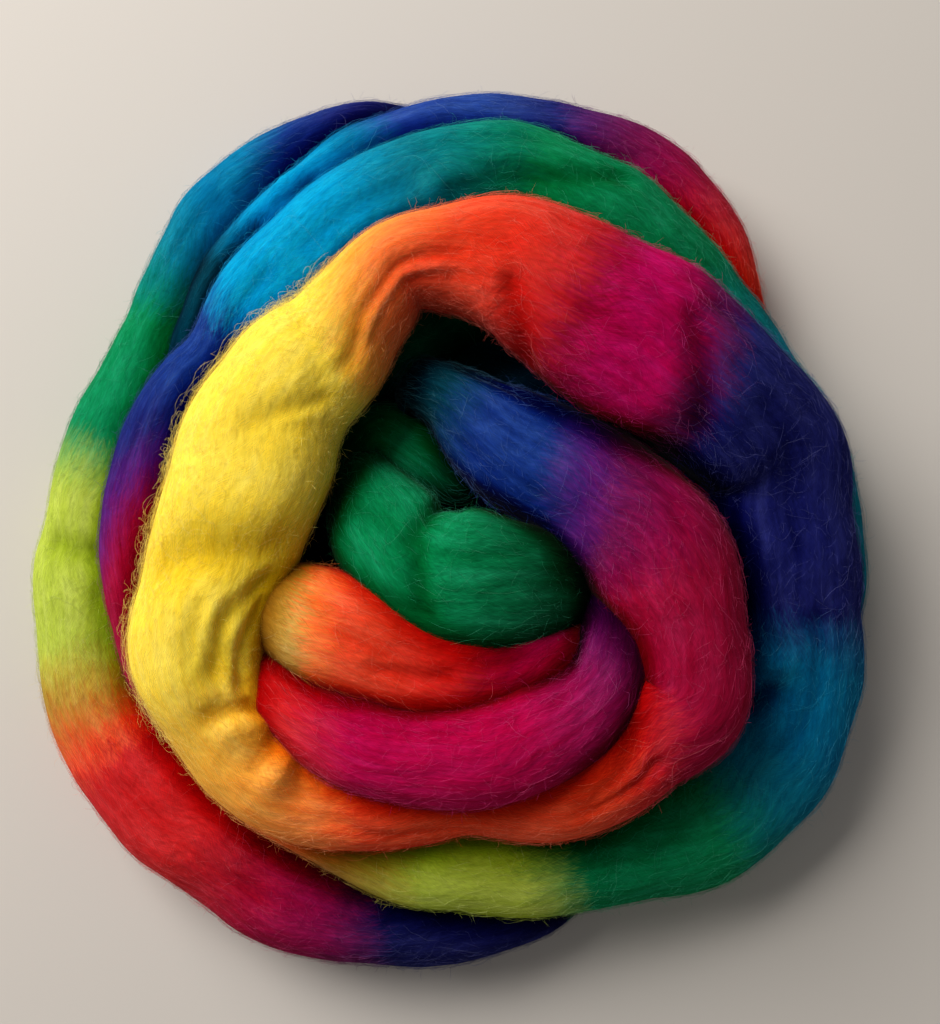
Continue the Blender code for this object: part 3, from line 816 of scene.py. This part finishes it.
def painted_shade_of(strand, along, angle):
    """Painted shade at each point, 0 to 1: where another turn is close, also at heights over the skin, or at the bottom
    of one of the folds.
    """
    some = np.linspace(along[0], along[-1], max(2, len(along) // RINGS_A_PROBE))
    few = SEAM + np.arange(SHADE_SIDES) * 2 * np.pi / SHADE_SIDES
    points, normal = strand.surface(some[:, None], few[None, :])
    run = np.repeat(some, len(few))
    close = 0
    for lift, share in SHADE_PROBES:
        near = strand.nearness((points + lift * MM * normal).reshape(-1, 3), run).reshape(points.shape[:2])
        close = close + share * shade_by_nearness(near)
    close = np.hstack((close, close[:, :1]))
    wide = np.stack([np.interp(along, some, column) for column in close.T], axis=-1)
    steps = np.linspace(0, SHADE_SIDES, len(angle), endpoint=False)
    left = np.floor(steps).astype(int)
    wide = wide[:, left] * (1 - steps + left) + wide[:, left + 1] * (steps - left)
    folds = strand.fold_depth(along[:, None], angle[None, :], wider=FOLD_SHADE_WIDTH)
    return np.clip(wide + np.clip(folds / (FOLD_SHADE_DEPTH * MM), 0, 1) * FOLD_SHADE, 0, 1)


# ---- loose fibre ----

FIBRE_PALENESS = 0.65  # power of a dye on a single fibre, which pales it: partly a thin fibre's paler dye, partly a painted glint
SHADE_FULLNESS = 0.9  # share by which that power grows in painted shade, near other turns
GLINT_WHITE = 0.9  # white of the painted glint that a fibre's dye is mixed with
ROOT_TRIES = 8  # roots drawn for each fibre, because most are hidden
FIRST_ROOT = 1.2  # station of the first root
END_CLEAR = 10.0  # length of the outer end that has none
TABLE_CLEAR = 2.5  # least height of a root over the table
LEAST_UPWARD = -0.5  # least upward part of the normal at a root
TOP_THINNING = 0.6  # share of the roots left out where the skin faces straight up
TURNING_RADIUS = 20.0  # radius of the strand by which a lying fibre turns round it
LEAST_STAND = 0.12  # least height of a lying fibre's arch
TIP_DEPTH = 0.08  # how far its ends start in the skin
FUZZ_PACE = (0.3, 1.7)  # shortest and longest hair, in fuzz lengths
FUZZ_DEPTH = 0.2  # how far a hair's root is in the skin
FUZZ_CLEAR = 0.15  # height over the table that hairs keep
HALO_STATIONS = (226, 335)  # the pale part of the top turn
HALO_ANGLES = (-20, 62)  # section angles, from a little under the outer side to the upper shoulder


def fibre_roots(strand, count, rng, clear):
    """Lengths and angles spread evenly over the skin that shows, so not inside another turn or on the table, and
    the painted shade of each, 0 to 1, by how near another turn is."""
    along = rng.uniform(strand.along_of(FIRST_ROOT), strand.along[-1] - END_CLEAR * MM, count * ROOT_TRIES)
    angle = rng.uniform(-np.pi, np.pi, len(along))
    points, normal = strand.surface(along, angle)
    up = normal[:, 2]
    kept = rng.uniform(0, 1, len(up)) > TOP_THINNING * np.maximum(up, 0) ** 2
    shown = (points[:, 2] > TABLE_CLEAR * MM) & (up > LEAST_UPWARD) & kept
    along, angle, points = along[shown], angle[shown], points[shown]
    near = strand.nearness(points, along)
    free = np.nonzero(near > clear)[0][:count]
    return along[free], angle[free], shade_by_nearness(near[free])


def fibre_mesh(name, lines, width, colours):
    """Closed three-sided tubes along lines, thickest in the middle and pointed at both ends: the radius is half the
    width x the root of the sin of the share. Each point of a line has a colour."""
    count, steps = lines.shape[:2]
    ahead = unit(np.gradient(lines, axis=1))
    side = unit(np.cross(ahead, (0.31, 0.17, 0.93)))
    other = np.cross(ahead, side)
    turn = np.arange(3) * 2 * np.pi / 3
    share = np.linspace(0, 1, steps)[1:-1]
    radius = width[:, None] / 2 * np.sin(np.pi * share) ** 0.5
    inner = lines[:, 1:-1, None] + radius[..., None, None] * (
        np.cos(turn)[:, None] * side[:, 1:-1, None] + np.sin(turn)[:, None] * other[:, 1:-1, None])
    points = np.concatenate((lines[:, :1], inner.reshape(count, -1, 3), lines[:, -1:]), axis=1)
    faces = fibre_faces(steps)
    offset = np.arange(count)[:, None, None] * points.shape[1]
    mesh = make_mesh(name, points.reshape(-1, 3), (faces + offset).reshape(-1, 3))
    shade = np.concatenate((colours[:, :1], np.repeat(colours[:, 1:-1], 3, axis=1), colours[:, -1:]), axis=1)
    shade = shade.reshape(-1, 3)
    # each point's colour: dye with a painted glint and painted shade
    layer = mesh.attributes.new("dye", "FLOAT_COLOR", "POINT")
    layer.data.foreach_set("color", np.hstack((shade, np.ones((len(shade), 1)))).astype(np.float32).ravel())
    add_fibre_map(mesh, faces, steps, count)
    return mesh


def fibre_faces(steps):
    """Triangles of one fibre: a fan at each tip and two for each side between rings."""
    rings = np.arange(steps - 2)[:, None] * 3 + 1
    side, following = np.arange(3), (np.arange(3) + 1) % 3
    low, low_next = rings[:-1] + side, rings[:-1] + following
    high, high_next = rings[1:] + side, rings[1:] + following
    walls = np.stack((np.stack((low, low_next, high_next), -1), np.stack((low, high_next, high), -1)), 2)
    last = 1 + 3 * (steps - 2)
    start = np.stack((np.zeros(3, int), following + 1, side + 1), axis=-1)
    end = np.stack((np.full(3, last), last - 3 + side, last - 3 + following), axis=-1)
    return np.concatenate((start, walls.reshape(-1, 3), end))


def add_fibre_map(mesh, faces, steps, count):
    """Each fibre's own cell of a square grid, with its length across the cell and a tenth of it clear all round."""
    ring = np.concatenate(([0], np.repeat(np.arange(1, steps - 1), 3), [steps - 1])) / (steps - 1)
    around = np.concatenate(([0.5], np.tile(np.arange(3) / 3, steps - 2), [0.5]))
    cells = math.ceil(math.sqrt(count))
    row, column = np.divmod(np.arange(count), cells)
    across = (column[:, None, None] + 0.1 + 0.8 * ring[faces]) / cells
    up = (row[:, None, None] + 0.1 + 0.8 * around[faces]) / cells
    add_map(mesh, "OFBake", np.stack((across, up), axis=-1).reshape(-1, 2))


def fibre_colours(settings, along, rng, pale, crease):
    """The dye at each point of each fibre, moved a little along the strand, paler by a power, partly a thin fibre's
    paler dye and partly a painted glint, and mixed with white, a painted glint. In painted shade it is fuller and has
    no white."""
    moved = along + rng.normal(0, settings.front_length / 2, (len(along), 1))
    crease = crease[:, None, None]
    dye = dye_at(settings, moved) ** (FIBRE_PALENESS * (1 + SHADE_FULLNESS * crease))
    painted_glint = pale * rng.uniform(0.2, 1.0, (len(along), 1, 1)) * (1 - crease)
    return dye * (1 - painted_glint) + painted_glint * GLINT_WHITE


def lying_lines(strand, rng, along, angle, steps, length, spread, stand, curl):
    """Fibres that lie on the skin: each step goes on in a heading that starts at a random slant from the strand's
    direction and drifts, and the height over the skin is a random height x sin of the share. Some are cut off on
    their way down, and end in the air."""
    share = np.linspace(0, 1, steps)[None, :]
    size = (len(along), 1)
    pace = rng.uniform(0.5, 1.5, size) * length / (steps - 1)
    heading = rng.normal(0, spread, size) + np.cumsum(rng.normal(0, curl, (len(along), steps)), axis=1)
    run = along[:, None] + np.cumsum(pace * np.cos(heading), axis=1)
    turn = angle[:, None] + np.cumsum(pace * np.sin(heading), axis=1) / (TURNING_RADIUS * MM)
    tall = np.abs(rng.normal(0, stand, size)) + LEAST_STAND
    lift = tall * np.sin(np.pi * share * rng.uniform(0.6, 1, size)) - TIP_DEPTH
    run = np.clip(run, MM, strand.along[-1] - MM)
    points, _ = strand.surface(run, turn, lift * MM)
    return points, dyed_at(strand, run, turn)


def lying(clear, spread, stand, curl):
    """The function that makes one kind of lying fibre, whose roots are this clear of other turns. Without it they
    are on the outer side of the top turn's pale part, where the strand is most teased."""
    def lines_of(strand, rng, count, steps, length):
        if clear:
            along, angle, crease = fibre_roots(strand, count, rng, clear)
        else:
            along = rng.uniform(*strand.along_of(HALO_STATIONS), count)
            angle, crease = np.radians(rng.uniform(*HALO_ANGLES, count)), np.zeros(count)
        return *lying_lines(strand, rng, along, angle, steps, length, spread, stand, curl), crease
    return lines_of


def fuzz_lines(strand, rng, count, steps, length):
    """Short hairs that stand off the skin and curl: each step goes on in a direction that starts at a random lean
    and drifts."""
    along, angle, crease = fibre_roots(strand, count, rng, clear=1.12)
    root, normal = strand.surface(along, angle)
    ahead = strand.at(along)[3] * rng.choice((-1, 1), (len(along), 1))
    across = np.cross(normal, ahead)
    size = (len(along), 1)
    lean = (ahead * rng.uniform(0, 1, size) + normal * (np.abs(rng.normal(0, 0.55, size)) + 0.1)
            + across * rng.normal(0, 0.6, size))
    drift = np.cumsum(rng.normal(0, 0.55, (len(along), steps - 1, 3)), axis=1)
    pace = np.abs(rng.normal(0, 1, (len(along), 1, 1))).clip(*FUZZ_PACE) * length / (steps - 1)
    moves = np.concatenate((-FUZZ_DEPTH * MM * normal[:, None], pace * unit(unit(lean)[:, None] + drift)), axis=1)
    points = root[:, None] + np.cumsum(moves, axis=1)
    points[..., 2] = np.maximum(points[..., 2], FUZZ_CLEAR * MM)
    return points, np.repeat(dyed_at(strand, along, angle)[:, None], steps, axis=1), crease


FIBRE_KINDS = {
    # clearness, slant, height over the skin and curl of the fibres that lie
    "nap": lying(1.02, 0.5, 0.55, 0.4),
    "fuzz": fuzz_lines,
    "flyaway": lying(1.22, 0.8, 1.0, 0.35),
    "halo": lying(None, 1.3, 1.9, 0.7),
}
FIBRE_PIECES = (
    # name, kind, points of each fibre, seed, most white of the painted glint mixed in
    ("roving_nap_a", "nap", 4, 21, 0.02),
    ("roving_nap_b", "nap", 4, 22, 0.04),
    ("roving_fuzz", "fuzz", 4, 23, 0.03),
    ("roving_flyaways", "flyaway", 8, 25, 0.06),
    ("roving_halo", "halo", 8, 26, 0.05),
)


# ---- settings ----

def number(name, description, default, low=0.0, **more):
    return bpy.props.FloatProperty(name=name, description=description, default=default, min=low, **more)


def length(name, description, default, low=0.001, **more):
    return number(name, description, default, low, unit="LENGTH", **more)


def factor(name, description, default, most=1.0):
    return number(name, description, default, max=most, subtype="FACTOR")


def how_many(name, description, default):
    return bpy.props.IntProperty(name=name, description=description, default=default, min=1)


def colour(name, description, default):
    return bpy.props.FloatVectorProperty(
        name=name, description=description, default=default, min=0, max=1, subtype="COLOR")


class RovingSettings(bpy.types.PropertyGroup):
    """Sizes and colours of the roving."""

    down_height: length("Down", "Height of the thin down over the skin", 0.0005, 0)
    down_cover: factor("Down cover", "How much the strokes of the down hide", 0.45)
    front_length: length("Front length", "How far the fibres carry one dye into the next", 0.006, 0)
    nap_length: length("Nap", "Length of the fibres matted on the strand", 0.0065)
    fuzz_length: length("Fuzz", "Length of the short hairs", 0.0030)
    flyaway_length: length("Flyaway", "Length of the long stray fibres", 0.013)
    halo_length: length("Halo", "Length of the curly fibres on the pale part", 0.010)
    fibre_width: length("Fibre width", "Thickness of a fibre, a few real ones lying together",
                        0.000065, 0.00001, precision=5)
    nap_count: how_many("Nap fibres", "How many matted fibres each of their two pieces has", 13000)
    fuzz_count: how_many("Short hairs", "How many short hairs stand off the strand", 13500)
    flyaway_count: how_many("Flyaways", "How many long fibres stray", 1200)
    halo_count: how_many("Halo fibres", "How many curly fibres stand off the pale part", 1300)
    roughness: factor("Roughness", "Roughness of wool", 0.85)
    sheen: factor("Sheen", "Weight of the soft glow at the edges", 0.02)
    streak_contrast: factor("Streak contrast", "How strongly single fibres differ in value", 0.42, 2.0)
    bump: factor("Bump", "Strength of the fibre grain's relief", 0.42)


for dye, albedo in DYES.items():
    RovingSettings.__annotations__[dye] = colour(
        dye.replace("_", " ").capitalize(), "Albedo of the wool where it has this dye", albedo)


class StudioSettings(bpy.types.PropertyGroup):
    """Floor and light."""

    floor_colour: colour("Floor", "Colour of the floor", (0.62, 0.58, 0.54))
    key_power: number("Window", "Power of the soft light from the upper left", 48.0, unit="POWER")
    key_size: length("Window size", "Side of the soft light", 1.3, 0.01)
    sky_strength: number("Room light", "Strength of the light from all sides", 0.17)


class ROVING_OT_skin(bpy.types.Operator):
    """Make the strand's stretches, with their locks, folds, dye and painted shade"""

    bl_idname = "roving.skin"
    bl_label = "Wound strand"

    def execute(self, context):
        settings, strand = context.scene.roving, the_strand()
        for name, first, last, spacing, sides in STRETCHES:
            mesh, start, end = skin_mesh(name, strand, first, last, spacing, sides, -SKIN_DEPTH * MM)
            piece = add_piece(mesh, skin_material(f"{name}_wool", settings, start, end, False))
            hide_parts(NODE)
        return {"FINISHED"}


class ROVING_OT_down(bpy.types.Operator):
    """Make the thin down that covers the strand where it shows"""

    bl_idname = "roving.down"
    bl_label = "Down"

    def execute(self, context):
        settings, strand = context.scene.roving, the_strand()
        for name, first, last, spacing, sides in STRETCHES:
            if name != "roving_bed":
                mesh, start, end = skin_mesh(f"{name}_down", strand, first, last, spacing * DOWN_COARSENESS,
                                             round(sides / DOWN_COARSENESS), settings.down_height)
                add_piece(mesh, skin_material(f"{name}_down", settings, start, end, True))
        return {"FINISHED"}


class ROVING_OT_fibre(bpy.types.Operator):
    """Make the loose fibre: what lies on the strand, its short fuzz, its long flyaways and its halo"""

    bl_idname = "roving.fibre"
    bl_label = "Loose fibre"

    def execute(self, context):
        settings, strand = context.scene.roving, the_strand()
        material = fibre_material(settings)
        for name, kind, steps, seed, pale in FIBRE_PIECES:
            rng = np.random.default_rng(seed)
            count, length = getattr(settings, f"{kind}_count"), getattr(settings, f"{kind}_length")
            lines, along, crease = FIBRE_KINDS[kind](strand, rng, count, steps, length)
            width = settings.fibre_width * rng.uniform(0.6, 1.3, len(lines))
            # dye with a painted glint, and painted shade near other turns
            colours = fibre_colours(settings, along, rng, pale, crease)
            add_piece(fibre_mesh(name, lines, width, colours), material)
        return {"FINISHED"}


class ROVING_OT_studio(bpy.types.Operator):
    """Make the pale floor, the soft light and the camera"""

    bl_idname = "roving.studio"
    bl_label = "Floor, light and camera"

    def execute(self, context):
        settings, scene = context.scene.roving_studio, context.scene
        material, _ = new_material("floor_paint", Base_Color=(*settings.floor_colour, 1), Roughness=0.8)
        corners = np.array(((-1, -1, 0), (1, -1, 0), (1, 1, 0), (-1, 1, 0))) * FLOOR_REACH
        floor = add_object("floor", make_mesh("floor", corners, np.array([[0, 1, 2, 3]])))
        floor.data.materials.append(material)

        world = bpy.data.worlds.new("room")
        world.use_nodes = True
        sky = world.node_tree.nodes["Background"].inputs
        sky["Color"].default_value, sky["Strength"].default_value = (*ROOM_COLOUR, 1), settings.sky_strength
        scene.world = world

        lamp = bpy.data.lights.new("window", "AREA")
        lamp.energy, lamp.size, lamp.color = settings.key_power, settings.key_size, WINDOW_COLOUR
        window = add_object("window", lamp)
        window.location = WINDOW_PLACE
        window.rotation_euler = (-window.location).to_track_quat("-Z", "Y").to_euler()

        lens = bpy.data.cameras.new("camera")
        lens.lens, lens.sensor_width, lens.clip_start = LENS, SENSOR, 0.01
        camera = add_object("camera", lens)
        behind = np.array((0, -math.sin(CAMERA_TILT), math.cos(CAMERA_TILT))) * CAMERA_DISTANCE
        camera.location = (np.array(CAMERA_AIM) + behind) * MM
        camera.rotation_euler = (CAMERA_TILT, 0, 0)
        scene.camera = camera
        scene.view_settings.view_transform = "Standard"
        return {"FINISHED"}


class ROVING_PT_panel(bpy.types.Panel):
    """Buttons for the operators that make the heap, and boxes of its settings"""

    bl_idname = "ROVING_PT_panel"
    bl_label = "Wool roving"
    bl_space_type = "VIEW_3D"
    bl_region_type = "UI"
    bl_category = "Roving"

    def draw(self, context):
        for kind in OPERATORS:
            self.layout.operator(kind.bl_idname, text=kind.bl_label)
        for settings in (context.scene.roving, context.scene.roving_studio):
            box = self.layout.box()
            for name in settings.__annotations__:
                box.prop(settings, name)


OPERATORS = (ROVING_OT_skin, ROVING_OT_down, ROVING_OT_fibre, ROVING_OT_studio)
CLASSES = (RovingSettings, StudioSettings, *OPERATORS, ROVING_PT_panel)


def register():
    for kind in CLASSES:
        bpy.utils.register_class(kind)
    bpy.types.Scene.roving = bpy.props.PointerProperty(type=RovingSettings)
    bpy.types.Scene.roving_studio = bpy.props.PointerProperty(type=StudioSettings)


def unregister():
    del bpy.types.Scene.roving_studio
    del bpy.types.Scene.roving
    for kind in reversed(CLASSES):
        bpy.utils.unregister_class(kind)


def main():
    register()
    bpy.ops.roving.skin()
    bpy.ops.roving.down()
    bpy.ops.roving.fibre()
    bpy.ops.roving.studio()


if __name__ == "__main__":
    main()
